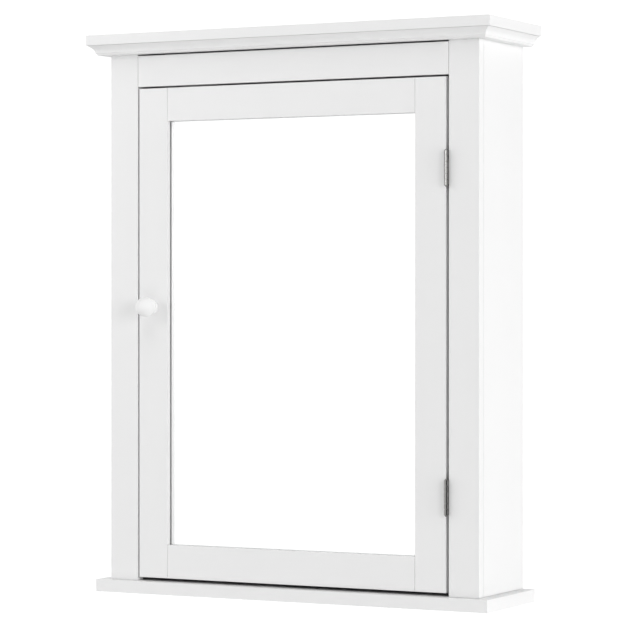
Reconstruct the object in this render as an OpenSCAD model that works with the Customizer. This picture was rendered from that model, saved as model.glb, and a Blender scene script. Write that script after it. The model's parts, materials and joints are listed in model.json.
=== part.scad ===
// Hanging wall cabinet with a framed mirror door, crown moulding and two adjustable shelves.
// Millimetres. +Z is up, the wall is the plane Y = 0 and the door faces -Y. The origin lies on the
// wall plane, midway between the two upper wall screws.

/* [Carcass] */
// Height over all, from the underside of the base board to the top of the crown
cabinet_h = 686; // [640:1:760]
// Width over the two side panels
box_w = 499; // [460:1:560]
// Depth from the wall to the front of the face frame
box_d = 128; // [115:1:160]
// Thickness of a side panel
side_t = 12; // [12:0.5:15]
// Thickness of the back panel
back_t = 3; // [3:0.5:4]

/* [Crown] */
// Width of the top board
crown_w = 544.5; // [543:0.5:620]
// Depth of the top board
crown_d = 150; // [150:1:190]
// Thickness of the top board
top_t = 12.5; // [12:0.5:16]
// Height of the moulding under the top board
moulding_h = 12; // [11:0.5:16]
// How far the moulding stands out of the box
moulding_out = 21.2; // [20:0.1:21.6]

/* [Base] */
// Width of the base board
base_w = 528.5; // [510:0.5:600]
// Depth of the base board
base_d = 139; // [132:1:180]
// Thickness of the base board
base_t = 15; // [13:0.5:20]

/* [Face frame] */
// Thickness of the face frame
frame_t = 13; // [12:0.5:14]
// Width of a face frame stile
stile_w = 39; // [34:0.5:45]
// Height of the header rail
header_h = 38.5; // [34:0.1:45]
// Slit between the header rail and the moulding
header_slit = 1.5; // [0.8:0.1:2]

/* [Door] */
// Thickness of the door frame
door_t = 16; // [16:0.5:18]
// Width of a door stile
door_stile_w = 40; // [36:0.5:50]
// Width of a door rail
door_rail_w = 41; // [36:0.5:50]
// Gap beside the knob stile
gap_knob_side = 2; // [1.5:0.5:3]
// Gap on the hinge side, which both hinge leaves fill
gap_hinge_side = 3.5; // [3.5:0.1:4.5]
// Gap above the door
gap_above = 2; // [1.5:0.5:3]
// Gap below the door
gap_below = 4.2; // [2:0.1:6]
// Depth of the mirror behind the door's front
mirror_recess = 7; // [5:0.5:9]
// Thickness of the mirror glass
glass_t = 3; // [3:0.5:5]

/* [Knob] */
// Distance from the door's free edge to the knob's axis
knob_in = 18; // [17:0.5:25]
// Height of the knob above the underside of the base board
knob_height = 351.5; // [300:0.5:380]
// Radius of the ball
ball_r = 12; // [10:0.5:14]
// Distance from the door's front to the ball's centre
ball_out = 15.5; // [15:0.5:20]
// Radius of the foot against the door
foot_r = 9; // [8:0.1:11]

/* [Hinges] */
// Height of the lower hinge's centre above the underside of the base board
lower_hinge_height = 130.5; // [80:0.5:160]
// Height of the upper hinge's centre above the underside of the base board
upper_hinge_height = 513; // [470:0.5:560]
// Length of the barrel without its tips
barrel_l = 40.8; // [36:0.6:48]
// Outer radius of the barrel
barrel_r = 2.2; // [2.2:0.05:2.8]
// Distance from the door's front to the pin's axis
pin_out = 3.6; // [3.1:0.1:4.5]
// Radius of the hinge pin
pin_r = 1.2; // [1.1:0.05:1.4]

/* [Shelves] */
// Thickness of a shelf
shelf_t = 12; // [10:0.5:15]
// Depth of a shelf
shelf_d = 100; // [80:1:101]
// Height of the lower shelf's underside above the underside of the base board
lower_shelf_height = 215; // [180:1:240]
// Height of the upper shelf's underside above the underside of the base board
upper_shelf_height = 415; // [390:1:440]

/* [Wall fixing] */
// Height of the upper wall screws above the underside of the base board
screw_line = 600; // [598:1:606]
// Distance between the two wall screws of a rail
screw_spacing = 406.4; // [380:0.1:410]
// Radius of a wall screw hole
wall_hole_r = 2.75; // [2.25:0.25:3.5]
// Thickness of a hanging rail
rail_t = 15; // [12:0.5:16]

/* [Hidden] */
$fn = 48;
paint = "#ececec";

// Heights. Every height above the base board's underside is measured from z_bottom.
z_bottom = -screw_line;
z_base_top = z_bottom + base_t;
z_top = z_bottom + cabinet_h;
z_top_under = z_top - top_t;
z_moulding = z_top_under - moulding_h;
z_header_top = z_moulding - header_slit;
z_header = z_header_top - header_h;
z_door = z_base_top + gap_below;
z_door_top = z_header - gap_above;

// Widths. The box is symmetric about X = 0.
x_side = box_w / 2;
x_inner = x_side - side_t;
x_open = x_side - stile_w;
x_edge = x_inner + side_t / 2;
x_door_l = -x_open + gap_knob_side;
x_door_r = x_open - gap_hinge_side;

// Depths, negative towards the room.
y_front = -box_d;
y_frame_back = y_front + frame_t;
y_door_back = y_front + door_t;

// Plain clearance round a fastener that a hole takes.
slack = 0.1;
// Wood dowels.
dowel_r = 3;
dowel_in = 8;
dowel_long = 14;
// Back panel rabbet in the side panels, and the nails that hold the panel.
rabbet = 6;
nail_r = 0.8;
nail_head_r = 1.8;
nail_head_t = 0.6;
nail_l = 14;
nail_heights = [for (i = [0 : 5]) z_bottom + 60 + i * (cabinet_h - 120) / 5];
nail_widths = [-120, 0, 120];
// Hanging rails.
upper_rail_h = 90;
lower_rail_h = 50;
y_rail = -back_t - rail_t;
z_upper_rail = z_top_under - upper_rail_h;
z_lower_screws = z_base_top + lower_rail_h / 2;
// Cam fittings between the top board and the side panels.
cam_r = 7.4;
cam_t = 9.5;
cam_down = 24;
cam_neck_r = 1.9;
cam_head_r = 3;
cam_thread_r = 2.4;
cam_thread_l = 9;
cam_depths = [-32, -88];
// Dowels beside the cam fittings, base screws and base dowels, by depth.
top_dowel_depths = [-60, -104];
base_screw_depths = [-30, -90];
base_dowel_depths = [-60, -106];
base_screw_r = 2.5;
base_screw_head_r = 5;
base_screw_head_t = 4;
base_screw_l = 45;
// Shelf pins and the rows of holes that they fit.
peg_r = 2.5;
peg_l = 7.5;
hole_l = 8;
collar_r = 3.5;
paddle_l = 8;
paddle_w = 9;
paddle_t = 2;
pin_pitch = 32;
pin_rows = [-2 : 2];
pin_depths = [-24, -84];
shelf_gap = 1;
// Magnetic catch under the header rail.
catch_x = -140;
catch_front = y_door_back + 1.9;
catch_d = 13.5;
catch_h = 14.5;
catch_mid = z_header - 8;
catch_screw_x = 18.5;
// Rabbet in the back of the door frame for the glass and its backing.
glass_bed = 8;
glass_gap = 1;
x_glass_l = x_door_l + door_stile_w;
x_glass_r = x_door_r - door_stile_w;
z_glass = z_door + door_rail_w;
z_glass_top = z_door_top - door_rail_w;
y_glass = y_front + mirror_recess;
// Clips that hold the backing, each as [x, z, turn] with the turn towards the glass.
clip_w = 12;
clip_l = 16;
clip_t = 1.2;
clip_out = 4.5;
clip_rows = [0.1, 0.5, 0.9];
clip_columns = [0.3, 0.7];
z_span = z_glass_top - z_glass;
x_span = x_glass_r - x_glass_l;
clips = concat(
    [for (t = clip_rows) [x_glass_l - glass_bed, z_glass + t * z_span, 0]],
    [for (t = clip_rows) [x_glass_r + glass_bed, z_glass + t * z_span, 180]],
    [for (t = clip_columns) [x_glass_l + t * x_span, z_glass - glass_bed, -90]],
    [for (t = clip_columns) [x_glass_l + t * x_span, z_glass_top + glass_bed, 90]]
);
// Knob and its screw.
knob_x = x_door_l + knob_in;
knob_z = z_bottom + knob_height;
knob_screw_r = 2;
knob_bore_l = 13;
insert_r = 3.5;
insert_l = 10;
foot_t = 4;
neck_r = 7;
// Hinges. The pin's axis stands out of the door's front, over the middle of the gap.
x_axis = x_open - gap_hinge_side / 2;
y_axis = y_front - pin_out;
z_lower_hinge = z_bottom + lower_hinge_height;
z_upper_hinge = z_bottom + upper_hinge_height;
knuckles = 6;
knuckle_gap = 0.2;
leaf_t = 1;
leaf_reach = 14;
leaf_clear = barrel_r + 0.25;
tip_r = 1.8;
tip_h = 1.6;
hinge_screw_y = y_axis + 9;
hinge_screw_z = 12;
hinge_screw_r = 1.4;
hinge_screw_head_r = 2.6;
hinge_screw_l = 12;

module slab(x, y, z) {
    translate([x[0], y[0], z[0]]) cube([x[1] - x[0], y[1] - y[0], z[1] - z[0]]);
}

// Round bars along each axis. The argument along the bar's own axis is a pair.
module rod_x(x, y, z, r) {
    translate([x[0], y, z]) rotate([0, 90, 0]) cylinder(h = x[1] - x[0], r = r);
}
module rod_y(x, y, z, r) {
    translate([x, y[0], z]) rotate([-90, 0, 0]) cylinder(h = y[1] - y[0], r = r);
}
module rod_z(x, y, z, r) {
    translate([x, y, z[0]]) cylinder(h = z[1] - z[0], r = r);
}

// A right-hand piece or, with side = -1, its mirror image.
module on_side(side) {
    if (side > 0) children();
    else mirror([1, 0, 0]) children();
}

// ---- Fasteners: each module draws the piece, or with more > 0 the hole that takes it ----

module wall_holes(z) {
    for (s = [-1, 1]) rod_y(s * screw_spacing / 2, [y_rail - 1, 1], z, wall_hole_r);
}

// Dowels upright in the right-hand side panel's ends, along the depths given.
module upright_dowels(z, depths, up, down, more = 0) {
    for (y = depths) rod_z(x_edge, y, [z - down - more, z + up + more], dowel_r + more);
}
module top_dowel_pair(more = 0) {
    upright_dowels(z_top_under, top_dowel_depths, dowel_in, dowel_long, more);
}
module base_dowel_pair(more = 0) {
    upright_dowels(z_base_top, base_dowel_depths, dowel_long, dowel_in, more);
    x = x_side - stile_w / 2 - 3;
    y = y_front + frame_t / 2;
    rod_z(x, y, [z_base_top - dowel_in - more, z_base_top + dowel_long + more], dowel_r + more);
}
module header_dowel_pair(more = 0) {
    for (z = [z_header + 9, z_header_top - 9])
        rod_x([x_open - dowel_long - more, x_open + dowel_long + more],
              y_front + frame_t / 2, z, dowel_r + more);
}
module rail_dowel_set(more = 0) {
    heights = [z_upper_rail + 15, z_top_under - 30, z_base_top + 12, z_base_top + lower_rail_h - 12];
    for (z = heights)
        rod_x([x_inner - dowel_long - more, x_inner + dowel_in + more],
              y_rail + rail_t / 2, z, dowel_r + more);
}

module nail(x, z, more = 0) {
    rod_y(x, [-nail_l - more, 0], z, nail_r + more);
    rod_y(x, [-nail_head_t - more, 0], z, nail_head_r + more);
}
module side_nails(more = 0) {
    for (z = nail_heights) nail(x_inner + rabbet / 2, z, more);
}
module rail_nails(more = 0) {
    for (x = nail_widths, z = [z_top_under - 20, z_base_top + 15]) nail(x, z, more);
}

module base_screw(y, more = 0) {
    rod_z(x_edge, y, [z_bottom, z_bottom + base_screw_l + more], base_screw_r + more);
    translate([x_edge, y, z_bottom])
        cylinder(h = base_screw_head_t, r1 = base_screw_head_r + more, r2 = base_screw_r + more);
}

module cam_bolt(y, more = 0) {
    z_cam = z_top_under - cam_down;
    rod_z(x_edge, y, [z_cam, z_top_under], cam_neck_r + more);
    rod_z(x_edge, y, [z_top_under - 8, z_top_under], cam_head_r + more);
    rod_z(x_edge, y, [z_top_under, z_top_under + cam_thread_l + more], cam_thread_r + more);
}
module cam_pocket(y) {
    rod_x([x_inner - 1, x_inner + cam_t + 2 * slack], y, z_top_under - cam_down, cam_r + slack);
}

module shelf_holes(z_under) {
    for (y = pin_depths, row = pin_rows)
        rod_x([x_inner - 1, x_inner + hole_l], y, z_under - collar_r + row * pin_pitch, peg_r);
}

// A countersunk wood screw along +X or -X from the surface x, for a hinge leaf.
module hinge_screw(x, dir, z, more = 0) {
    translate([x, hinge_screw_y, z]) rotate([0, dir * 90, 0]) {
        cylinder(h = leaf_t, r1 = hinge_screw_head_r + more, r2 = hinge_screw_r + more);
        cylinder(h = hinge_screw_l + more, r = hinge_screw_r + more);
    }
}
module hinge_screw_pair(z_hinge, x, dir, more = 0) {
    for (s = [-1, 1]) hinge_screw(x, dir, z_hinge + s * hinge_screw_z, more);
}
module frame_hinge_screws(z_hinge, more = 0) {
    hinge_screw_pair(z_hinge, x_open - leaf_t, 1, more);
}
module door_hinge_screws(z_hinge, more = 0) {
    hinge_screw_pair(z_hinge, x_door_r + leaf_t, -1, more);
}
// Cross recess for a driver, cut into a screw head that faces the direction of the turn.
module cross_recess(size, depth) {
    for (a = [0, 90]) rotate([0, 0, a])
        translate([-size / 2, -size / 8, -1]) cube([size, size / 4, depth + 1]);
}

// ---- Carcass ----

module base_board() {
    color(paint) difference() {
        slab([-base_w / 2, base_w / 2], [-base_d, 0], [z_bottom, z_base_top]);
        for (s = [-1, 1]) on_side(s) {
            base_dowel_pair(slack);
            for (y = base_screw_depths) base_screw(y, slack);
        }
    }
}

module top_board() {
    color(paint) difference() {
        slab([-crown_w / 2, crown_w / 2], [-crown_d, 0], [z_top_under, z_top]);
        for (s = [-1, 1]) on_side(s) {
            top_dowel_pair(slack);
            for (y = cam_depths) cam_bolt(y, slack);
        }
    }
}

// Section of the moulding: a splay that runs into a cove, a short lip, a step inwards and a bead.
cove_r = 6.8;
splay_angle = 40;
lip_h = 0.9;
step_in = 1.2;
bead_r = 1.9;
cove_down = moulding_h - bead_r - lip_h;
splay_down = cove_down - cove_r * cos(splay_angle);
lip_out = moulding_out - splay_down / tan(splay_angle) - cove_r * (1 - sin(splay_angle));
bead_out = lip_out - step_in - bead_r;
moulding_section = concat(
    [[0, 0], [moulding_out, 0]],
    [for (i = [0 : 10]) let (a = 90 + splay_angle + i * (90 - splay_angle) / 10)
        [lip_out + cove_r * (1 + cos(a)), -cove_down + cove_r * sin(a)]],
    [for (i = [0 : 8]) let (a = -i * 90 / 8)
        [bead_out + bead_r * cos(a), bead_r * sin(a) - moulding_h + bead_r]],
    [[0, -moulding_h]]
);

module crown_moulding_front() {
    length = box_w + 2 * moulding_out;
    color(paint) intersection() {
        translate([-length / 2, y_front, z_top_under]) rotate([90, 0, 90])
            linear_extrude(length) polygon([for (p = moulding_section) [-p[0], p[1]]]);
        translate([0, 0, z_moulding - 1]) linear_extrude(moulding_h + 2)
            polygon([
                [-x_side, y_front], [x_side, y_front],
                [x_side + moulding_out, y_front - moulding_out],
                [-x_side - moulding_out, y_front - moulding_out]
            ]);
    }
}

module crown_moulding_side(side) {
    color(paint) on_side(side) intersection() {
        translate([x_side, 0, z_top_under]) rotate([90, 0, 0])
            linear_extrude(box_d + moulding_out) polygon(moulding_section);
        translate([0, 0, z_moulding - 1]) linear_extrude(moulding_h + 2)
            polygon([
                [x_side, 0], [x_side + moulding_out, 0],
                [x_side + moulding_out, y_front - moulding_out], [x_side, y_front]
            ]);
    }
}

module side_panel(side) {
    color(paint) on_side(side) difference() {
        slab([x_inner, x_side], [y_frame_back, 0], [z_base_top, z_top_under]);
        slab([x_inner - 1, x_inner + rabbet], [-back_t, 1], [z_base_top - 1, z_top_under + 1]);
        shelf_holes(z_bottom + lower_shelf_height);
        shelf_holes(z_bottom + upper_shelf_height);
        for (y = cam_depths) {
            cam_pocket(y);
            cam_bolt(y, slack);
        }
        top_dowel_pair(slack);
        base_dowel_pair(slack);
        for (y = base_screw_depths) base_screw(y, slack);
        rail_dowel_set(slack);
        side_nails(slack);
    }
}

module face_stile(side) {
    color(paint) difference() {
        on_side(side) difference() {
            slab([x_open, x_side], [y_front, y_frame_back], [z_base_top, z_top_under]);
            header_dowel_pair(slack);
            base_dowel_pair(slack);
        }
        frame_hinge_screws(z_lower_hinge, slack);
        frame_hinge_screws(z_upper_hinge, slack);
    }
}

module header_rail() {
    color(paint) difference() {
        slab([-x_open, x_open], [y_front, y_frame_back], [z_header, z_header_top]);
        for (s = [-1, 1]) on_side(s) header_dowel_pair(slack);
    }
}

module back_panel() {
    x_edge_of_panel = x_inner + rabbet;
    color("#b08a62") difference() {
        slab([-x_edge_of_panel, x_edge_of_panel], [-back_t, 0], [z_base_top, z_top_under]);
        wall_holes(0);
        wall_holes(z_lower_screws);
        for (s = [-1, 1]) on_side(s) side_nails(slack);
        rail_nails(slack);
    }
}

module hanging_rail(z, height, z_holes) {
    color(paint) difference() {
        slab([-x_inner, x_inner], [y_rail, -back_t], [z, z + height]);
        wall_holes(z_holes);
        for (s = [-1, 1]) on_side(s) rail_dowel_set(slack);
        rail_nails(slack);
    }
}

module cam_locks() {
    z_cam = z_top_under - cam_down;
    color("silver") for (s = [-1, 1], y = cam_depths) on_side(s) difference() {
        rod_x([x_inner, x_inner + cam_t], y, z_cam, cam_r);
        slab([x_inner + 2.6, x_inner + cam_t + 1], [y - 3.4, y + 3.4], [z_cam - 3.4, z_cam + cam_r + 1]);
        translate([x_inner, y, z_cam]) rotate([0, 90, 0]) cross_recess(8, 1.2);
    }
}

module cam_bolts() {
    z_cam = z_top_under - cam_down;
    color("silver") for (s = [-1, 1], y = cam_depths) on_side(s) {
        cam_bolt(y);
        rod_z(x_edge, y, [z_cam - cam_head_r, z_cam + cam_head_r - 1], cam_head_r);
    }
}

module base_screws() {
    color("silver") for (s = [-1, 1], y = base_screw_depths) on_side(s) difference() {
        base_screw(y);
        translate([x_edge, y, z_bottom - 1]) cylinder(h = 4, r = 2, $fn = 6);
    }
}

module both_sides() {
    for (s = [-1, 1]) on_side(s) children();
}

module back_panel_nails() {
    color("silver") {
        both_sides() side_nails();
        rail_nails();
    }
}

// ---- Shelves and the pins that carry them ----

module shelf_pin(y, z_under) {
    z = z_under - collar_r;
    rod_x([x_inner - shelf_gap, x_inner + peg_l], y, z, peg_r - slack / 2);
    rod_x([x_inner - shelf_gap, x_inner], y, z, collar_r);
    x_paddle = x_inner - shelf_gap - paddle_l;
    slab([x_paddle, x_inner - shelf_gap], [y - paddle_w / 2, y + paddle_w / 2],
         [z_under - paddle_t, z_under]);
    translate([0, y + 0.8, 0]) rotate([90, 0, 0]) linear_extrude(1.6) polygon([
        [x_paddle + 1, z_under - paddle_t], [x_inner - shelf_gap, z_under - paddle_t],
        [x_inner - shelf_gap, z - collar_r + 0.5]
    ]);
}

module shelf_pins(height) {
    color("silver") both_sides() for (y = pin_depths) shelf_pin(y, z_bottom + height);
}

module shelf(height) {
    x = x_inner - shelf_gap;
    z = z_bottom + height;
    color(paint) slab([-x, x], [-back_t - 1 - shelf_d, -back_t - 1], [z, z + shelf_t]);
}

// ---- Magnetic catch ----

module catch_screws_at(more = 0) {
    for (s = [-1, 1]) {
        x = catch_x + s * catch_screw_x;
        y = catch_front + catch_d / 2;
        rod_z(x, y, [z_header - 3, z_header + 9 + more], 1.4 + more);
        rod_z(x, y, [z_header - 4.6, z_header - 3], 2.8);
    }
}

module catch_block() {
    color(paint) difference() {
        slab([catch_x - 30, catch_x + 30], [y_frame_back, y_frame_back + 22], [z_header, z_header + 26]);
        catch_screws_at(slack);
    }
}

module catch_housing() {
    color("white") difference() {
        union() {
            slab([catch_x - 14, catch_x + 14], [catch_front, catch_front + catch_d],
                 [z_header - catch_h, z_header]);
            slab([catch_x - 23, catch_x + 23], [catch_front + 1.5, catch_front + catch_d - 1.5],
                 [z_header - 3, z_header]);
        }
        slab([catch_x - 11, catch_x + 11], [catch_front - 1, catch_front + 11],
             [catch_mid - 4, catch_mid + 4]);
        catch_screws_at(slack);
    }
}

module catch_magnet() {
    color("dimgray")
        slab([catch_x - 10.8, catch_x + 10.8], [catch_front + 0.4, catch_front + 10.8],
             [catch_mid - 2.5, catch_mid + 2.5]);
}

module catch_pole_plates() {
    color("silver") for (z = [catch_mid - 3.8, catch_mid + 2.6])
        slab([catch_x - 10.8, catch_x + 10.8], [catch_front - 0.6, catch_front + 10.8], [z, z + 1.2]);
}

module catch_screws() {
    color("silver") difference() {
        catch_screws_at();
        for (s = [-1, 1])
            translate([catch_x + s * catch_screw_x, catch_front + catch_d / 2, z_header - 4.6])
                cross_recess(3.4, 1);
    }
}

// ---- Door ----

module glass_pocket() {
    slab([x_glass_l - glass_bed, x_glass_r + glass_bed], [y_glass, y_door_back + 1],
         [z_glass - glass_bed, z_glass_top + glass_bed]);
}

module clip_screw_holes() {
    for (c = clips) at_clip(c) rod_y(-clip_out, [-8 - slack, 1], 0, 1.25 + slack);
}

// Places a child drawn with +X towards the glass, and Y = 0 on the door's back.
module at_clip(c) {
    translate([c[0], y_door_back, c[1]]) rotate([0, c[2], 0]) children();
}

module door_dowel_set(more = 0) {
    for (x = [x_glass_l, x_glass_r], z = [z_door + 10, z_door + 26, z_door_top - 10, z_door_top - 26])
        rod_x([x - 15 - more, x + 15 + more], y_front + door_t / 2, z, dowel_r + more);
}

module strike_screw_at(more = 0) {
    translate([catch_x, y_door_back + 1, catch_mid]) rotate([90, 0, 0]) {
        cylinder(h = 1, r1 = 2.8 + more, r2 = 1.4 + more);
        cylinder(h = 10 + more, r = 1.4 + more);
    }
}

module knob_screw_shank(more = 0) {
    rod_y(knob_x, [y_front - knob_bore_l + 1, y_door_back], knob_z, knob_screw_r + more);
}

// A door stile or rail: the block given, with every hole and the glass pocket cut out of it.
module door_member(x, z) {
    color(paint) difference() {
        slab(x, [y_front, y_door_back], z);
        glass_pocket();
        clip_screw_holes();
        door_dowel_set(slack);
        strike_screw_at(slack);
        knob_screw_shank(2 * slack);
        door_hinge_screws(z_lower_hinge, slack);
        door_hinge_screws(z_upper_hinge, slack);
    }
}

// The glass and its backing fill the pocket but for a small gap round the edge.
module pane(y0, t) {
    g = glass_bed - glass_gap;
    slab([x_glass_l - g, x_glass_r + g], [y0, y0 + t], [z_glass - g, z_glass_top + g]);
}

module mirror_glass() {
    color("lightcyan") pane(y_glass, glass_t);
}

module mirror_backing() {
    color("#b08a62") pane(y_glass + glass_t, y_door_back - y_glass - glass_t);
}

module mirror_clips() {
    color("silver") for (c = clips) at_clip(c) difference() {
        slab([-9, clip_l - 9], [0, clip_t], [-clip_w / 2, clip_w / 2]);
        rod_y(-clip_out, [-1, clip_t + 1], 0, 1.5);
    }
}

module mirror_clip_screws() {
    color("silver") for (c = clips) at_clip(c) difference() {
        union() {
            rod_y(-clip_out, [-8, clip_t], 0, 1.25);
            rod_y(-clip_out, [clip_t, clip_t + 1.4], 0, 2.5);
        }
        translate([-clip_out, clip_t + 1.4, 0]) rotate([90, 0, 0]) cross_recess(3, 0.9);
    }
}

module knob() {
    color("white") translate([knob_x, y_front, knob_z]) rotate([90, 0, 0]) difference() {
        union() {
            cylinder(h = foot_t, r = foot_r);
            cylinder(h = ball_out, r = neck_r);
            translate([0, 0, ball_out]) sphere(r = ball_r);
        }
        translate([0, 0, -20]) cylinder(h = 20, r = 20);
        translate([0, 0, -1]) cylinder(h = insert_l + 1, r = insert_r + slack / 2);
        translate([0, 0, -1]) cylinder(h = knob_bore_l + 1, r = knob_screw_r + slack);
    }
}

module knob_insert() {
    color("goldenrod") difference() {
        rod_y(knob_x, [y_front - insert_l, y_front], knob_z, insert_r);
        knob_screw_shank(slack / 2);
    }
}

module knob_screw() {
    color("silver") difference() {
        union() {
            knob_screw_shank();
            rod_y(knob_x, [y_door_back, y_door_back + 1.2], knob_z, 4.2);
            rod_y(knob_x, [y_door_back + 1.2, y_door_back + 2.2], knob_z, 3.2);
        }
        translate([knob_x, y_door_back + 2.2, knob_z]) rotate([90, 0, 0]) cross_recess(4.4, 1.4);
    }
}

module strike_plate() {
    color("silver") difference() {
        slab([catch_x - 19, catch_x + 19], [y_door_back, y_door_back + 1], [catch_mid - 5, catch_mid + 5]);
        strike_screw_at(slack);
    }
}

module strike_screw() {
    color("silver") difference() {
        strike_screw_at();
        translate([catch_x, y_door_back + 1, catch_mid]) rotate([90, 0, 0]) cross_recess(3, 0.7);
    }
}

// ---- Hinges ----

// The leaf on side 1 is screwed to the face frame and the leaf on side -1 to the door. The leaves
// take alternate knuckles, and a plate reaches the barrel only beside its own.
module hinge_leaf(z_hinge, side) {
    step = barrel_l / knuckles;
    first = side > 0 ? 1 : 0;
    x = side > 0 ? [x_open - leaf_t, x_open] : [x_door_r, x_door_r + leaf_t];
    z0 = z_hinge - barrel_l / 2;
    difference() {
        union() {
            slab(x, [y_axis + leaf_clear, y_axis + leaf_reach], [z0, z0 + barrel_l]);
            for (k = [first : 2 : knuckles - 1]) {
                z = [z0 + k * step + knuckle_gap / 2, z0 + (k + 1) * step - knuckle_gap / 2];
                slab(x, [y_axis, y_axis + leaf_clear + 0.5], z);
                rod_z(x_axis, y_axis, z, barrel_r);
            }
        }
        rod_z(x_axis, y_axis, [z0 - 1, z0 + barrel_l + 1], pin_r + slack / 2);
        if (side > 0) frame_hinge_screws(z_hinge, slack / 2);
        else door_hinge_screws(z_hinge, slack / 2);
    }
}

module hinge_pin(z_hinge) {
    half = barrel_l / 2;
    color("silver") {
        rod_z(x_axis, y_axis, [z_hinge - half, z_hinge + half], pin_r);
        for (turn = [0, 180]) translate([x_axis, y_axis, z_hinge]) rotate([turn, 0, 0]) intersection() {
            translate([0, 0, half]) cylinder(h = tip_h, r = tip_r);
            translate([0, 0, half + tip_h - tip_r]) sphere(r = tip_r);
        }
    }
}

module hinge_screws(z_hinge, side) {
    x = side > 0 ? x_open - leaf_t : x_door_r + leaf_t;
    color("silver") difference() {
        hinge_screw_pair(z_hinge, x, side);
        for (s = [-1, 1]) translate([x, hinge_screw_y, z_hinge + s * hinge_screw_z])
            rotate([0, side * 90, 0]) cross_recess(3, 0.7);
    }
}

base_board();
top_board();
crown_moulding_front();
crown_moulding_side(-1);  // crown_moulding_left
crown_moulding_side(1);  // crown_moulding_right
side_panel(-1);  // side_panel_left
side_panel(1);  // side_panel_right
face_stile(-1);  // face_stile_left
face_stile(1);  // face_stile_right
header_rail();
back_panel();
hanging_rail(z_upper_rail, upper_rail_h, 0);  // hanging_rail_upper
hanging_rail(z_base_top, lower_rail_h, z_lower_screws);  // hanging_rail_lower
cam_locks();
cam_bolts();
base_screws();
color("tan") both_sides() top_dowel_pair();  // top_dowels
color("tan") both_sides() base_dowel_pair();  // base_dowels
color("tan") both_sides() header_dowel_pair();  // header_dowels
color("tan") both_sides() rail_dowel_set();  // rail_dowels
back_panel_nails();
shelf_pins(lower_shelf_height);  // lower_shelf_pins
shelf_pins(upper_shelf_height);  // upper_shelf_pins
catch_block();
catch_housing();
catch_magnet();
catch_pole_plates();
catch_screws();
color("silver") hinge_leaf(z_upper_hinge, 1);  // upper_hinge_frame_leaf
hinge_pin(z_upper_hinge);  // upper_hinge_pin
hinge_screws(z_upper_hinge, 1);  // upper_hinge_frame_screws
color("silver") hinge_leaf(z_lower_hinge, 1);  // lower_hinge_frame_leaf
hinge_pin(z_lower_hinge);  // lower_hinge_pin
hinge_screws(z_lower_hinge, 1);  // lower_hinge_frame_screws
door_member([x_door_l, x_glass_l], [z_door, z_door_top]);  // door_stile_knob_side
door_member([x_glass_r, x_door_r], [z_door, z_door_top]);  // door_stile_hinge_side
door_member([x_glass_l, x_glass_r], [z_glass_top, z_door_top]);  // door_rail_top
door_member([x_glass_l, x_glass_r], [z_door, z_glass]);  // door_rail_bottom
color("tan") door_dowel_set();  // door_dowels
mirror_glass();
mirror_backing();
mirror_clips();
mirror_clip_screws();
knob();
knob_insert();
knob_screw();
strike_plate();
strike_screw();
color("silver") hinge_leaf(z_upper_hinge, -1);  // upper_hinge_door_leaf
hinge_screws(z_upper_hinge, -1);  // upper_hinge_door_screws
color("silver") hinge_leaf(z_lower_hinge, -1);  // lower_hinge_door_leaf
hinge_screws(z_lower_hinge, -1);  // lower_hinge_door_screws
shelf(lower_shelf_height);  // lower_shelf
shelf(upper_shelf_height);  // upper_shelf
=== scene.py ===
"""Hanging wall cabinet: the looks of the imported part, around its fixed frame. Metres, +Z up."""
import json
import math

import bmesh
import bpy
from mathutils import Matrix, Vector


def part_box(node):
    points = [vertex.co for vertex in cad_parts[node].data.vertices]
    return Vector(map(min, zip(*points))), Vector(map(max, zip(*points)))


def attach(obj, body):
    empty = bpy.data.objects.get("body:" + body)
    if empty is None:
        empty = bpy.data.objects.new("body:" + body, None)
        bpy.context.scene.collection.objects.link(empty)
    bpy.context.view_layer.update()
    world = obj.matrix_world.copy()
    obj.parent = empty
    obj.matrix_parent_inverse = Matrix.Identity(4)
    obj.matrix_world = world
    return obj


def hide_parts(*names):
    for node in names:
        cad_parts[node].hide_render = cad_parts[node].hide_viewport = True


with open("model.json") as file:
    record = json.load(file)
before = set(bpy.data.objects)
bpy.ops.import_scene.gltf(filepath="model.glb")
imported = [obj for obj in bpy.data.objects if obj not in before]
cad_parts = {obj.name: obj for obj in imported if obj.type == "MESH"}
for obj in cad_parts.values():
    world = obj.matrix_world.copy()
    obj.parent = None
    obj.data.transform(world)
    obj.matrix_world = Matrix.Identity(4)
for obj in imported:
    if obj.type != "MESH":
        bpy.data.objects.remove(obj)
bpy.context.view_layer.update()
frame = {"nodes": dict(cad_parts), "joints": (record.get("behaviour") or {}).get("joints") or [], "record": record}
NODES = frame["nodes"]
MM = 0.001
SAME_POINT = 1e-6
scene = bpy.context.scene


# ---- Places that the rest is worked out from ----

def low(node):
    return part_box(node)[0]


def high(node):
    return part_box(node)[1]


def middle(node):
    return (low(node) + high(node)) / 2


BOTTOM = low("base_board").z
FRONT = low("face_stile_right").y
SIDE = high("side_panel_right").x
CROWN_UNDER = low("top_board").z
DOOR_HINGE = {joint["name"]: joint for joint in frame["joints"]}["door_hinge"]
HINGE_AXIS = Vector(DOOR_HINGE["pos_m"])


# ---- Materials ----

def new_material(name):
    material = bpy.data.materials.new(name)
    material.use_nodes = True
    tree = material.node_tree
    shader = tree.nodes["Principled BSDF"]
    return material, tree, shader


def add(tree, kind, inputs=None, **settings):
    """A node with its settings and input values given by name."""
    node = tree.nodes.new(kind)
    for key, value in settings.items():
        setattr(node, key, value)
    for key, value in (inputs or {}).items():
        node.inputs[key].default_value = value
    return node


def place(tree):
    """Object coordinates, which are metres in the part's own frame for every piece."""
    return add(tree, "ShaderNodeTexCoord").outputs["Object"]


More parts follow.
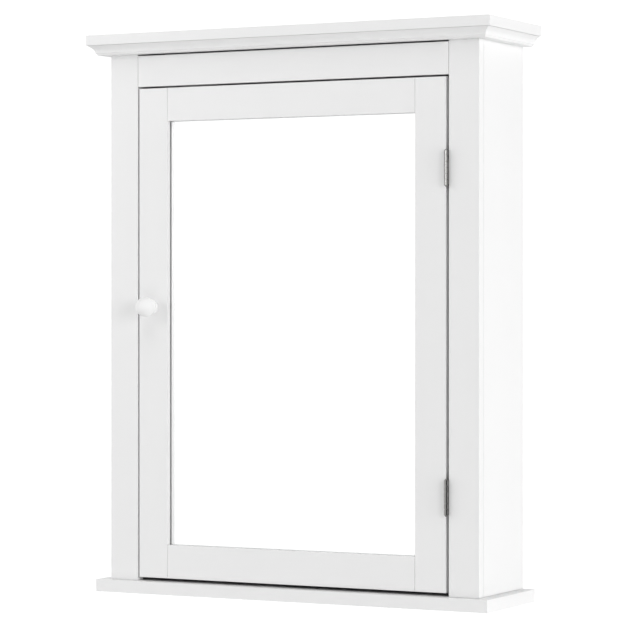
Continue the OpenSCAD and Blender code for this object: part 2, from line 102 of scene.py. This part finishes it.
def noise(tree, scale, detail=3.0, roughness=0.5, stretch=None):
    """Noise over the piece, with features about 1/scale metres across, stretched along an axis."""
    where = place(tree)
    if stretch:
        mapping = add(tree, "ShaderNodeMapping", {"Scale": stretch})
        tree.links.new(where, mapping.inputs["Vector"])
        where = mapping.outputs["Vector"]
    texture = add(tree, "ShaderNodeTexNoise",
                  {"Scale": scale, "Detail": detail, "Roughness": roughness})
    tree.links.new(where, texture.inputs["Vector"])
    return texture.outputs["Fac"]


def spread(tree, value, low_end, high_end, start=0.3, end=0.7):
    """Maps a value from its own range onto another one."""
    node = add(tree, "ShaderNodeMapRange",
               {"From Min": start, "From Max": end, "To Min": low_end, "To Max": high_end})
    tree.links.new(value, node.inputs["Value"])
    return node.outputs["Result"]


def two_tones(tree, value, first, second):
    """Mixes two colours by a value."""
    node = add(tree, "ShaderNodeMix", data_type="RGBA")
    node.inputs["A"].default_value = (*first, 1)
    node.inputs["B"].default_value = (*second, 1)
    tree.links.new(value, node.inputs["Factor"])
    return node.outputs["Result"]


def bump(tree, shader, height, strength, depth):
    node = add(tree, "ShaderNodeBump", {"Strength": strength, "Distance": depth})
    tree.links.new(height, node.inputs["Height"])
    tree.links.new(node.outputs["Normal"], shader.inputs["Normal"])


def paint(name, tone, roughness, peel=0.12):
    """Sprayed paint: faint clouding of the tone and the gloss, and a fine orange peel."""
    material, tree, shader = new_material(name)
    clouds = noise(tree, 9, 2)
    lighter = tuple(min(1, c * 1.012) for c in tone)
    darker = tuple(c * 0.988 for c in tone)
    tree.links.new(two_tones(tree, clouds, darker, lighter), shader.inputs["Base Color"])
    gloss = noise(tree, 60, 4)
    tree.links.new(spread(tree, gloss, roughness - 0.05, roughness + 0.05),
                   shader.inputs["Roughness"])
    bump(tree, shader, noise(tree, 420, 2), peel, 0.1 * MM)
    return material


def metal(name, tone, roughness, streak=(1, 1, 1), grain=900):
    """Plated steel: fine streaks along one axis in the roughness and the surface."""
    material, tree, shader = new_material(name)
    shader.inputs["Metallic"].default_value = 1
    mottle = noise(tree, 140, 3)
    tree.links.new(two_tones(tree, mottle, tuple(c * 0.93 for c in tone), tone),
                   shader.inputs["Base Color"])
    lines = noise(tree, grain, 3, stretch=streak)
    tree.links.new(spread(tree, lines, roughness * 0.75, roughness * 1.3),
                   shader.inputs["Roughness"])
    bump(tree, shader, lines, 0.15, 0.02 * MM)
    return material


def mirror_silver(name):
    """Silvered glass, with the faintest haze."""
    material, tree, shader = new_material(name)
    shader.inputs["Metallic"].default_value = 1
    haze = noise(tree, 14, 3)
    tree.links.new(two_tones(tree, haze, (0.965, 0.972, 0.97), (0.975, 0.98, 0.978)),
                   shader.inputs["Base Color"])
    tree.links.new(spread(tree, haze, 0.004, 0.012), shader.inputs["Roughness"])
    return material


def board_back(name, raw, white_side):
    """Thin board with one white face, which looks along Y with the sign that white_side gives."""
    material, tree, shader = new_material(name)
    fibres = noise(tree, 700, 5, 0.7)
    specks = noise(tree, 160, 4, 0.6)
    brown = two_tones(tree, spread(tree, specks, 0, 1), tuple(c * 0.72 for c in raw), raw)
    white = two_tones(tree, noise(tree, 9, 2), (0.83, 0.83, 0.825), (0.85, 0.85, 0.845))
    normal = add(tree, "ShaderNodeTexCoord").outputs["Normal"]
    split = add(tree, "ShaderNodeSeparateXYZ")
    tree.links.new(normal, split.inputs[0])
    facing = add(tree, "ShaderNodeMapRange",
                 {"From Min": 0.4, "From Max": 0.6, "To Min": 0, "To Max": 1})
    flip = add(tree, "ShaderNodeMath", operation="MULTIPLY")
    flip.inputs[1].default_value = white_side
    tree.links.new(split.outputs["Y"], flip.inputs[0])
    tree.links.new(flip.outputs[0], facing.inputs["Value"])
    mix = add(tree, "ShaderNodeMix", data_type="RGBA")
    tree.links.new(facing.outputs["Result"], mix.inputs["Factor"])
    tree.links.new(brown, mix.inputs["A"])
    tree.links.new(white, mix.inputs["B"])
    tree.links.new(mix.outputs["Result"], shader.inputs["Base Color"])
    tree.links.new(spread(tree, facing.outputs["Result"], 0.85, 0.45, 0, 1),
                   shader.inputs["Roughness"])
    bump(tree, shader, fibres, 0.25, 0.12 * MM)
    return material


def wood(name, light, dark, grain):
    """Raw wood with its grain along one axis, given by a small scale on that axis."""
    material, tree, shader = new_material(name)
    streaks = noise(tree, 260, 6, 0.65, stretch=grain)
    tree.links.new(two_tones(tree, spread(tree, streaks, 0, 1), dark, light),
                   shader.inputs["Base Color"])
    shader.inputs["Roughness"].default_value = 0.75
    bump(tree, shader, streaks, 0.4, 0.15 * MM)
    return material


WHITE = paint("white_paint", (0.86, 0.86, 0.86), 0.42)
WHITE_GLOSS = paint("white_gloss", (0.9, 0.9, 0.9), 0.4, peel=0.04)
PLASTIC = paint("white_plastic", (0.84, 0.84, 0.82), 0.5, peel=0.3)
SILVER = mirror_silver("mirror_silver")
# The nickel's tone is set far darker than plated steel really is. This is painted shade, standing for the dark
# room that the hinge barrels reflect.
NICKEL_PAINTED_DARK_REFLECTION = metal("nickel_steel", (0.3, 0.295, 0.29), 0.15, streak=(1, 1, 0.1))
ZINC = metal("zinc_steel", (0.63, 0.64, 0.66), 0.38, grain=500)
BRASS = metal("brass", (0.78, 0.6, 0.28), 0.3)
FERRITE = paint("ferrite", (0.035, 0.035, 0.038), 0.7, peel=0.4)
HARDBOARD = board_back("hardboard", (0.42, 0.27, 0.15), -1)
BACKING = board_back("mirror_backing_board", (0.5, 0.38, 0.26), 1)
BEECH = wood("beech", (0.72, 0.52, 0.33), (0.55, 0.36, 0.21), (1, 1, 0.06))

BY_SLOT = {
    "white_paint": WHITE, "white_gloss": WHITE_GLOSS, "fibreboard": HARDBOARD, "beech": BEECH,
    "mirror_glass": SILVER, "nickel_steel": NICKEL_PAINTED_DARK_REFLECTION, "zinc_steel": ZINC, "brass": BRASS,
    "white_plastic": PLASTIC, "ferrite": FERRITE,
}
SLOTS = {subpart["node"]: subpart["material_slot"] for subpart in frame["record"]["subparts"]}
BODIES = {
    node: body
    for body, names in frame["record"]["behaviour"]["bodies"].items()
    for node in names
}


def dress(piece, material):
    """One material over the whole piece."""
    piece.data.materials.clear()
    piece.data.materials.append(material)


for node_name, node_object in NODES.items():
    dress(node_object, BY_SLOT[SLOTS[node_name]])
dress(NODES["mirror_backing"], BACKING)


# ---- Eased edges on the CAD pieces, by modifiers that leave their meshes as they are ----

def weld(piece):
    """Joins the points that the frame's mesh repeats along its edges."""
    modifier = piece.modifiers.new("weld", "WELD")
    modifier.merge_threshold = SAME_POINT


def bevel(piece, radius):
    """Rounds the edges where faces meet at more than 40 degrees."""
    modifier = piece.modifiers.new("eased edges", "BEVEL")
    modifier.width = radius
    modifier.segments = 3
    modifier.limit_method = "ANGLE"
    modifier.angle_limit = math.radians(40)
    modifier.use_clamp_overlap = True
    modifier.miter_outer = "MITER_ARC"
    modifier.harden_normals = True


def ease(node, radius, hairline=0.0):
    """Rounds a CAD node's edges. With a hairline, its faces first draw back by about that much.

    The push goes along each corner's diagonal, which is the root of 3 longer than a face's own way.
    """
    piece = NODES[node]
    weld(piece)
    if hairline:
        shrink = piece.modifiers.new("hairline", "DISPLACE")
        shrink.mid_level = 0
        shrink.strength = -hairline * math.sqrt(3)
    bevel(piece, radius)


HAIRLINE = 0.15 * MM
FACE_FRAME = ["face_stile_left", "face_stile_right", "header_rail"]
SIDE_PANELS = ["side_panel_left", "side_panel_right"]
INNER_BOARDS = [
    "hanging_rail_upper", "hanging_rail_lower", "catch_block", "lower_shelf", "upper_shelf",
]
DOOR_MEMBERS = [
    "door_stile_knob_side", "door_stile_hinge_side", "door_rail_top", "door_rail_bottom",
]
for board in FACE_FRAME:
    ease(board, 0.4 * MM, HAIRLINE * 2)
for board in SIDE_PANELS:
    ease(board, 0.2 * MM, HAIRLINE * 2)
for board in INNER_BOARDS:
    ease(board, 0.6 * MM, HAIRLINE)
for board in DOOR_MEMBERS:
    ease(board, 0.7 * MM, HAIRLINE * 1.3)
ease("base_board", 0.4 * MM)
ease("top_board", 0.3 * MM)
for small in ["catch_housing", "lower_shelf_pins", "upper_shelf_pins", "cam_locks"]:
    ease(small, 0.3 * MM)
for small in ["strike_plate", "mirror_clips", "catch_pole_plates", "catch_magnet", "knob_insert"]:
    ease(small, 0.15 * MM)
for small in ["knob_screw", "strike_screw", "catch_screws", "mirror_clip_screws", "cam_bolts"]:
    ease(small, 0.12 * MM)


# ---- Building pieces ----

def piece_from(bm, name, node, material, radius=0.0, smooth=35):
    """An object from the mesh built, which stands for the CAD node and rides on its body."""
    bmesh.ops.recalc_face_normals(bm, faces=bm.faces)
    mesh = bpy.data.meshes.new(name)
    bm.to_mesh(mesh)
    bm.free()
    mesh.shade_smooth()
    mesh.set_sharp_from_angle(angle=math.radians(smooth))
    piece = bpy.data.objects.new(name, mesh)
    scene.collection.objects.link(piece)
    if radius:
        bevel(piece, radius)
    dress(piece, material)
    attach(piece, BODIES[node])
    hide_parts(node)
    return piece


def loft(bm, near, far):
    """A closed solid between two loops that have the same number of points."""
    first = [bm.verts.new(point) for point in near]
    last = [bm.verts.new(point) for point in far]
    bm.faces.new(first)
    bm.faces.new(reversed(last))
    for i in range(len(first)):
        j = (i + 1) % len(first)
        bm.faces.new((first[j], first[i], last[i], last[j]))


def lathe(bm, profile, base, axis, steps=96, shape=None):
    """A turned solid from (radius, height) points. shape scales the radius by the angle."""
    turn = axis.to_track_quat("Z", "Y").to_matrix()
    shape = shape or (lambda angle: 1)
    rings = []
    for radius, height in profile:
        angles = [2 * math.pi * i / steps for i in range(steps)] if radius else [0]
        rings.append([
            bm.verts.new(base + turn @ Vector((radius * shape(a) * math.cos(a),
                                               radius * shape(a) * math.sin(a), height)))
            for a in angles
        ])
    for lower, upper in zip(rings, rings[1:]):
        for i in range(steps):
            corners = [lower[i % len(lower)], lower[(i + 1) % len(lower)],
                       upper[(i + 1) % len(upper)], upper[i % len(upper)]]
            bm.faces.new(list(dict.fromkeys(corners)))


def arc(centre, radius, start, end, steps=8):
    """Points round a centre, from one angle in degrees to another."""
    angles = [math.radians(start + (end - start) * i / steps) for i in range(steps + 1)]
    return [(centre[0] + radius * math.cos(a), centre[1] + radius * math.sin(a)) for a in angles]


# ---- Crown moulding: a splay, a cove, a lip, a step inwards and a bead, mitred at the corners ----

COVE_R = 6.8 * MM
SPLAY = math.radians(40)
LIP_H = 0.9 * MM
STEP_IN = 1.2 * MM
BEAD_R = 1.9 * MM
JOINT_LINE = 0.25 * MM
MOULDING_OUT = high("crown_moulding_right").x - SIDE
MOULDING_H = CROWN_UNDER - low("crown_moulding_front").z


def moulding_section():
    """The outline as (out of the box, above the board's underside) pairs.

    It stops just short of the box and of the board, so that a thin dark line parts them.
    """
    cove_down = MOULDING_H - BEAD_R - LIP_H
    splay_down = cove_down - COVE_R * math.cos(SPLAY)
    lip_out = MOULDING_OUT - splay_down / math.tan(SPLAY) - COVE_R * (1 - math.sin(SPLAY))
    bead_out = lip_out - STEP_IN - BEAD_R
    cove = arc((lip_out + COVE_R, -cove_down), COVE_R, 90 + math.degrees(SPLAY), 180, 20)
    bead = arc((bead_out, BEAD_R - MOULDING_H), BEAD_R, 0, -90, 16)
    return ([(JOINT_LINE, -JOINT_LINE), (MOULDING_OUT, -JOINT_LINE)] + cove + bead
            + [(JOINT_LINE, -MOULDING_H)])


def moulding(name, node, start, end):
    """A run of the moulding between two ends, each a rule from the outline's pair to a place."""
    bm = bmesh.new()
    section = moulding_section()
    loft(bm, [start(out, up) for out, up in section], [end(out, up) for out, up in section])
    return piece_from(bm, name, node, WHITE, radius=0.25 * MM, smooth=30)


def mitre(side):
    """The rule for a mitred end at the front corner of a side, 1 for the right."""
    return lambda out, up: Vector((side * (SIDE + out), FRONT - out, CROWN_UNDER + up))


def wall_end(side):
    """The rule for a square end against the wall."""
    return lambda out, up: Vector((side * (SIDE + out), 0, CROWN_UNDER + up))


moulding("moulding_front", "crown_moulding_front", mitre(-1), mitre(1))
moulding("moulding_left", "crown_moulding_left", mitre(-1), wall_end(-1))
moulding("moulding_right", "crown_moulding_right", mitre(1), wall_end(1))


# ---- Mirror: the silver, which is seen through the glass at two thirds of its thickness ----

REFRACTION = 1.52
GLASS_T = high("mirror_glass").y - low("mirror_glass").y


def mirror_pane():
    bm = bmesh.new()
    corner_low, corner_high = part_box("mirror_glass")
    silver_y = low("mirror_glass").y + GLASS_T / REFRACTION
    edge = 0.3 * MM

    def loop(y, inset):
        x0, x1 = corner_low.x + inset, corner_high.x - inset
        z0, z1 = corner_low.z + inset, corner_high.z - inset
        return [Vector((x0, y, z0)), Vector((x1, y, z0)), Vector((x1, y, z1)), Vector((x0, y, z1))]

    loft(bm, loop(silver_y, edge), loop(corner_high.y, 0))
    return piece_from(bm, "mirror_pane", "mirror_glass", SILVER, smooth=10)


mirror_pane()


# ---- Knob: a ball on a short neck and a round foot, turned in one piece ----

BALL_R = (high("knob").x - low("knob").x) / 2
BALL_OUT = FRONT - low("knob").y - BALL_R
FOOT_R = 9 * MM
FOOT_T = 4 * MM
NECK_R = 7 * MM


def knob():
    edge, shoulder, fillet = 0.4 * MM, 1.3 * MM, 1 * MM
    underside = -math.degrees(math.acos(NECK_R / BALL_R))
    profile = (
        [(0, 0)]
        + arc((FOOT_R - edge, edge), edge, -90, 0, 4)
        + arc((FOOT_R - shoulder, FOOT_T - shoulder), shoulder, 0, 90, 8)
        + arc((NECK_R + fillet, FOOT_T + fillet), fillet, 270, 180, 6)
        + arc((0, BALL_OUT), BALL_R, underside, 88, 36)
        + [(0, BALL_OUT + BALL_R)]
    )
    bm = bmesh.new()
    centre = middle("knob")
    lathe(bm, profile, Vector((centre.x, FRONT, centre.z)), Vector((0, -1, 0)))
    return piece_from(bm, "turned_knob", "knob", WHITE_GLOSS, smooth=40)


knob()


# ---- Hinges: each leaf is a plate with its knuckles rolled from it round the pin ----

BARREL_R = HINGE_AXIS.x - low("upper_hinge_frame_leaf").x
PIN_HOLE_R = 1.25 * MM
LEAF_T = 1 * MM
LEAF_CLEAR = BARREL_R + 0.25 * MM
KNUCKLES = 6
# Wider than the CAD's 0.2 mm, which is too fine to see from where the camera is.
KNUCKLE_GAP = 0.45 * MM
ROLL_END = 78  # degrees round the pin where the rolled steel ends
SCREW_HEAD_R = 2.65 * MM
SCREW_SHANK_R = 1.45 * MM
SCREW_OUT = 12 * MM
SCREW_IN = 9 * MM


def object_of(bm, name):
    mesh = bpy.data.meshes.new(name)
    bmesh.ops.recalc_face_normals(bm, faces=bm.faces)
    bm.to_mesh(mesh)
    bm.free()
    return bpy.data.objects.new(name, mesh)


def combined(base, steps):
    """The base's mesh after joining or cutting with other objects, as (operation, object) pairs."""
    scene.collection.objects.link(base)
    for operation, other in steps:
        scene.collection.objects.link(other)
        modifier = base.modifiers.new(operation, "BOOLEAN")
        modifier.operation = operation
        modifier.solver = "EXACT"
        modifier.object = other
    bm = bmesh.new()
    bm.from_object(base, bpy.context.evaluated_depsgraph_get())
    bmesh.ops.remove_doubles(bm, verts=bm.verts, dist=SAME_POINT)
    bmesh.ops.dissolve_limit(bm, angle_limit=math.radians(0.5), verts=bm.verts, edges=bm.edges)
    for used in [base] + [other for _, other in steps]:
        bpy.data.objects.remove(used)
    return bm


def roll_outline(side, far):
    """A knuckle's outline about the pin, from the plate's outer face round to its inner face."""
    near = far - LEAF_T
    outer_start = math.degrees(math.acos(far / BARREL_R))
    inner_end = math.degrees(math.acos(near / PIN_HOLE_R))
    outline = (
        [(near, LEAF_CLEAR + LEAF_T / 2), (far, LEAF_CLEAR + LEAF_T / 2)]
        + arc((0, 0), BARREL_R, outer_start, ROLL_END - 360, 40)
        + arc((0, 0), PIN_HOLE_R, ROLL_END - 360, inner_end, 32)
    )
    return [
        Vector((HINGE_AXIS.x + side * across, HINGE_AXIS.y + inwards, 0))
        for across, inwards in outline
    ]


def hinge_leaf(node, side):
    """side is 1 for the leaf on the face frame and -1 for the leaf on the door."""
    bottom, top = low(node).z, high(node).z
    centre = (bottom + top) / 2
    step = (top - bottom) / KNUCKLES
    plate_x = low("face_stile_right").x if side > 0 else high("door_stile_hinge_side").x
    far = abs(plate_x - HINGE_AXIS.x)
    y_near, y_far = HINGE_AXIS.y + LEAF_CLEAR, high(node).y
    corner = 1.5 * MM
    outline = (
        [(y_near, bottom)] + arc((y_far - corner, bottom + corner), corner, -90, 0, 6)
        + arc((y_far - corner, top - corner), corner, 0, 90, 6) + [(y_near, top)]
    )
    plate = bmesh.new()
    loft(plate, [Vector((plate_x, y, z)) for y, z in outline],
         [Vector((plate_x - side * LEAF_T, y, z)) for y, z in outline])
    rolls = bmesh.new()
    for k in range(1 if side > 0 else 0, KNUCKLES, 2):
        z0 = bottom + k * step + KNUCKLE_GAP / 2
        z1 = z0 + step - KNUCKLE_GAP
        loop = roll_outline(side, far)
        loft(rolls, [p + Vector((0, 0, z0)) for p in loop], [p + Vector((0, 0, z1)) for p in loop])
    holes = bmesh.new()
    cone = [(0, -LEAF_T), (2 * SCREW_HEAD_R - SCREW_SHANK_R, -LEAF_T), (SCREW_SHANK_R, LEAF_T),
            (SCREW_SHANK_R, 2 * LEAF_T), (0, 2 * LEAF_T)]
    for sign in (-1, 1):
        face = Vector((plate_x - side * LEAF_T, HINGE_AXIS.y + SCREW_IN, centre + sign * SCREW_OUT))
        lathe(holes, cone, face, Vector((side, 0, 0)), steps=40)
    whole = combined(object_of(plate, "plate"), [
        ("UNION", object_of(rolls, "rolls")), ("DIFFERENCE", object_of(holes, "holes")),
    ])
    return piece_from(whole, node.replace("_leaf", "_rolled_leaf"), node, NICKEL_PAINTED_DARK_REFLECTION, radius=0.1 * MM)


for hinge in ("upper", "lower"):
    hinge_leaf(hinge + "_hinge_frame_leaf", 1)
    hinge_leaf(hinge + "_hinge_door_leaf", -1)


# ---- Fluted dowels, in place of the plain ones ----

def islands(node):
    """The boxes of the separate solids in a CAD node, each as its lowest and highest corner."""
    bm = bmesh.new()
    bm.from_mesh(NODES[node].data)
    bmesh.ops.remove_doubles(bm, verts=bm.verts, dist=SAME_POINT)
    seen, boxes = set(), []
    for start in bm.verts:
        if start in seen:
            continue
        seen.add(start)
        group, stack = [], [start]
        while stack:
            vert = stack.pop()
            group.append(vert.co.copy())
            for edge in vert.link_edges:
                other = edge.other_vert(vert)
                if other not in seen:
                    seen.add(other)
                    stack.append(other)
        boxes.append([Vector(f(p[i] for p in group) for i in range(3)) for f in (min, max)])
    bm.free()
    return boxes


FLUTES = 16


def flute(angle):
    """A dowel's radius, as a part of the whole, round its section."""
    return 1 - 0.05 * max(0, math.cos(FLUTES * angle)) ** 2


def fluted_dowels(node):
    bm = bmesh.new()
    for box_low, box_high in islands(node):
        size = box_high - box_low
        long_way = max(range(3), key=lambda i: size[i])
        axis = Vector([float(i == long_way) for i in range(3)])
        radius = min(size) / 2
        length = size[long_way]
        base = (box_low + box_high) / 2 - axis * length / 2
        chamfer = radius / 3
        profile = [(0, 0), (radius - chamfer, 0), (radius, chamfer),
                   (radius, length - chamfer), (radius - chamfer, length), (0, length)]
        lathe(bm, profile, base, axis, steps=FLUTES * 6, shape=flute)
    return piece_from(bm, "fluted_" + node, node, BEECH)


for group in ("top_dowels", "base_dowels", "header_dowels", "rail_dowels", "door_dowels"):
    fluted_dowels(group)


# ---- Studio ----

FLOOR_R = 3.2
FLOOR_AT = Vector((0, -0.3, BOTTOM - 1.3))


def studio_floor():
    bm = bmesh.new()
    bmesh.ops.create_circle(bm, cap_ends=True, segments=96, radius=FLOOR_R)
    mesh = bpy.data.meshes.new("floor")
    bm.to_mesh(mesh)
    bm.free()
    floor = bpy.data.objects.new("floor", mesh)
    scene.collection.objects.link(floor)
    floor.location = FLOOR_AT
    dress(floor, paint("floor_paint", (0.86, 0.86, 0.855), 0.7))


def softbox(name, direction, distance, size, power, aim, glint=False):
    """A soft rectangular lamp, out from the aim along a direction. A glint shows in gloss alone."""
    lamp = bpy.data.lights.new(name, "AREA")
    lamp.shape = "RECTANGLE"
    lamp.size, lamp.size_y = size
    lamp.energy = power
    lamp_object = bpy.data.objects.new(name, lamp)
    scene.collection.objects.link(lamp_object)
    away = Vector(direction).normalized()
    lamp_object.location = aim + away * distance
    lamp_object.rotation_euler = (-away).to_track_quat("-Z", "Y").to_euler()
    lamp_object.visible_glossy = glint
    lamp_object.visible_diffuse = not glint


studio_floor()
KNOB_AT = Vector((middle("knob").x, FRONT, middle("knob").z))
SIDE_AT = Vector((SIDE, middle("side_panel_right").y, middle("knob").z))
UPPER_DOOR = KNOB_AT + Vector((0.2, 0, 0.06))
softbox("left_key", (-0.6, -0.67, 0.44), 2.0, (0.8, 0.8), 6.7, KNOB_AT)
softbox("left_fill", (-0.9, -0.43, 0.1), 1.5, (1.2, 1.2), 7, KNOB_AT)
softbox("right_key", (0.86, -0.49, 0.16), 4.0, (1.3, 1.3), 35, KNOB_AT)
softbox("side_fill", (1, -0.08, -0.02), 3.0, (1.8, 1.8), 49.7, SIDE_AT)
softbox("top_fill", (0, -0.5, 0.86), 2.2, (1.2, 1.2), 11.4, UPPER_DOOR)
softbox("low_fill", (0, -0.85, -0.5), 2.2, (3.0, 1.6), 12.2, UPPER_DOOR)
softbox("hinge_glint", (0.465, -0.885, 0.09), 4.0, (1.8, 0.9), 36, UPPER_DOOR, glint=True)


# Strengths of the world: as the camera sees it, where it is dark, and as it lights paint.
BACKDROP = 1.12
DARK_ROOM = 0.05
AMBIENT = 0.257
# Where the dark part lies, and the cosines from it at which it begins and is at its darkest.
DARK_WAY = Vector((0.85, -0.5, -0.1)).normalized()
DARK_START, DARK_FULL = 0.7, 0.85


def studio_world():
    """White all round to the camera and in reflections, but for a dark part in reflections.

    It is never sampled as a lamp, because that would ignore the kind of ray.
    """
    world = bpy.data.worlds.new("studio")
    scene.world = world
    world.cycles.sampling_method = "NONE"
    world.use_nodes = True
    tree = world.node_tree
    backdrop = tree.nodes["Background"]
    backdrop.inputs["Color"].default_value = (1, 1, 1, 1)
    direction = add(tree, "ShaderNodeTexCoord").outputs["Generated"]
    towards_room = add(tree, "ShaderNodeVectorMath", operation="DOT_PRODUCT")
    towards_room.inputs[1].default_value = DARK_WAY
    tree.links.new(direction, towards_room.inputs[0])
    mirrored = spread(
        tree, towards_room.outputs["Value"], BACKDROP, DARK_ROOM, DARK_START, DARK_FULL
    )
    ray = add(tree, "ShaderNodeLightPath")
    lit = add(tree, "ShaderNodeMix", data_type="FLOAT")
    lit.inputs["B"].default_value = AMBIENT
    tree.links.new(ray.outputs["Is Diffuse Ray"], lit.inputs["Factor"])
    tree.links.new(mirrored, lit.inputs["A"])
    strength = add(tree, "ShaderNodeMix", data_type="FLOAT")
    strength.inputs["B"].default_value = BACKDROP
    tree.links.new(ray.outputs["Is Camera Ray"], strength.inputs["Factor"])
    tree.links.new(lit.outputs["Result"], strength.inputs["A"])
    tree.links.new(strength.outputs["Result"], backdrop.inputs["Strength"])


studio_world()
scene.view_settings.view_transform = "Standard"


CAMERA_AT = Vector((1.5748, -3.0600, BOTTOM + 0.3560))
CAMERA_TURN = (27.73, -0.212, 0.007)  # yaw, pitch and roll in degrees
SENSOR_MM = 36
LENS_MM = 159.92


def studio_camera():
    data = bpy.data.cameras.new("camera")
    data.sensor_width = SENSOR_MM
    data.lens = LENS_MM
    data.clip_start = 0.1
    camera = bpy.data.objects.new("camera", data)
    scene.collection.objects.link(camera)
    yaw, pitch, roll = (math.radians(a) for a in CAMERA_TURN)
    camera.matrix_world = (
        Matrix.Translation(CAMERA_AT)
        @ Matrix.Rotation(yaw, 4, "Z")
        @ Matrix.Rotation(math.pi / 2 + pitch, 4, "X")
        @ Matrix.Rotation(roll, 4, "Z")
    )
    scene.camera = camera


studio_camera()
